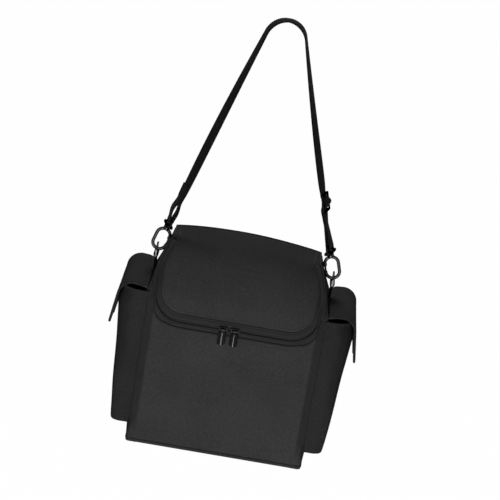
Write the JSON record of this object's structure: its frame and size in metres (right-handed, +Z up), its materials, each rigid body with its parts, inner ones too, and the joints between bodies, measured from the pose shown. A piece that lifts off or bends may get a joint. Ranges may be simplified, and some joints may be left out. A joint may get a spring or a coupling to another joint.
{
  "type": "garden tool bag",
  "caption": "Black soft-sided box bag with a zipped fold-up lid, a flapped pocket on each side and an adjustable shoulder strap on swivel snap hooks.",
  "frame": {"origin": "middle of the underside of the base, where the bag stands", "axes": "+Z up, +X to the right seen from the front, +Y from the front panel to the back panel"},
  "size_m": [0.3358, 0.1557, 0.5866],
  "materials": {
    "body_fabric": "matte fine-grained black woven nylon over thin foam",
    "pocket_fabric": "matte black woven nylon",
    "edge_binding": "black grosgrain binding and piping",
    "zip_tape": "black knitted zip tape",
    "zip_coil": "satin black nylon coil",
    "grip_patch": "black hook-and-loop tape",
    "webbing": "satin black ribbed webbing",
    "base_board": "stiffening board",
    "dark_metal": "glossy black-nickel zinc casting"
  },
  "bodies": {
    "bag": {"front_panel": "body_fabric", "back_panel": "body_fabric", "left_side_panel": "body_fabric", "right_side_panel": "body_fabric", "base_panel": "body_fabric", "base_board": "base_board", "top_panel": "body_fabric", "opening_piping": "edge_binding", "bag_zip_tape": "zip_tape", "bag_zip_coil": "zip_coil", "zip_stops": "dark_metal", "left_pocket": "pocket_fabric", "right_pocket": "pocket_fabric", "left_pocket_hem": "edge_binding", "right_pocket_hem": "edge_binding", "left_loop_patch": "grip_patch", "right_loop_patch": "grip_patch", "left_tab": "webbing", "right_tab": "webbing"},
    "lid": {"lid_panel": "body_fabric", "lid_piping": "edge_binding", "lid_zip_tape": "zip_tape", "lid_zip_coil": "zip_coil"},
    "left_slider": {"left_slider": "dark_metal", "left_pull_pin": "dark_metal"},
    "right_slider": {"right_slider": "dark_metal", "right_pull_pin": "dark_metal"},
    "left_pull": {"left_pull": "dark_metal"},
    "right_pull": {"right_pull": "dark_metal"},
    "left_flap": {"left_flap": "pocket_fabric", "left_hook_patch": "grip_patch"},
    "right_flap": {"right_flap": "pocket_fabric", "right_hook_patch": "grip_patch"},
    "left_ring": {"left_ring": "dark_metal"},
    "right_ring": {"right_ring": "dark_metal"},
    "strap": {"strap": "webbing", "adjuster": "dark_metal", "left_swivel_eye": "dark_metal", "right_swivel_eye": "dark_metal"},
    "left_hook": {"left_hook": "dark_metal", "left_gate_pin": "dark_metal"},
    "right_hook": {"right_hook": "dark_metal", "right_gate_pin": "dark_metal"},
    "left_gate": {"left_gate": "dark_metal"},
    "right_gate": {"right_gate": "dark_metal"}
  },
  "joints": [
    {"name": "lid_fold", "type": "hinge", "parent": "bag", "child": "lid", "pos_m": [0, -0.003, 0.268], "axis": [-1, 0, 0], "range_deg": [0, 90]},
    {"name": "strap_swing", "type": "hinge", "parent": "bag", "child": "strap", "pos_m": [0, 0.015, 0.2482], "axis": [-1, 0, 0], "range_deg": [-25, 25]},
    {"name": "left_zip_slide", "type": "slide", "parent": "lid", "child": "left_slider", "axis": [-1, 0, 0], "range_m": [0, 0.05]},
    {"name": "left_pull_swing", "type": "hinge", "parent": "left_slider", "child": "left_pull", "pos_m": [-0.014, -0.079, 0.181], "axis": [-1, 0, 0], "range_deg": [0, 120]},
    {"name": "left_flap_lift", "type": "hinge", "parent": "bag", "child": "left_flap", "pos_m": [-0.12281, 0, 0.217], "axis": [0, 1, 0], "range_deg": [0, 65]},
    {"name": "left_ring_tilt", "type": "hinge", "parent": "bag", "child": "left_ring", "pos_m": [-0.1212, 0.015, 0.2419], "axis": [0, 1, 0], "range_deg": [-2, 4]},
    {"name": "left_hook_turn", "type": "hinge", "parent": "strap", "child": "left_hook", "pos_m": [-0.1212, 0.015, 0.25], "axis": [0.2874, 0, 0.9578], "range_deg": [-30, 30]},
    {"name": "left_gate_open", "type": "hinge", "parent": "left_hook", "child": "left_gate", "pos_m": [-0.1071, 0.015, 0.26498], "axis": [0, 1, 0], "range_deg": [0, 30], "stiffness_Nm_per_rad": 0.02},
    {"name": "right_zip_slide", "type": "slide", "parent": "lid", "child": "right_slider", "axis": [1, 0, 0], "range_m": [0, 0.062]},
    {"name": "right_pull_swing", "type": "hinge", "parent": "right_slider", "child": "right_pull", "pos_m": [0.002, -0.079, 0.181], "axis": [-1, 0, 0], "range_deg": [0, 120]},
    {"name": "right_flap_lift", "type": "hinge", "parent": "bag", "child": "right_flap", "pos_m": [0.12281, 0, 0.217], "axis": [0, -1, 0], "range_deg": [0, 65]},
    {"name": "right_ring_tilt", "type": "hinge", "parent": "bag", "child": "right_ring", "pos_m": [0.1212, 0.015, 0.2419], "axis": [0, -1, 0], "range_deg": [-2, 4]},
    {"name": "right_hook_turn", "type": "hinge", "parent": "strap", "child": "right_hook", "pos_m": [0.1212, 0.015, 0.25], "axis": [-0.2874, 0, 0.9578], "range_deg": [-30, 30]},
    {"name": "right_gate_open", "type": "hinge", "parent": "right_hook", "child": "right_gate", "pos_m": [0.1071, 0.015, 0.26498], "axis": [0, -1, 0], "range_deg": [0, 30], "stiffness_Nm_per_rad": 0.02}
  ]
}
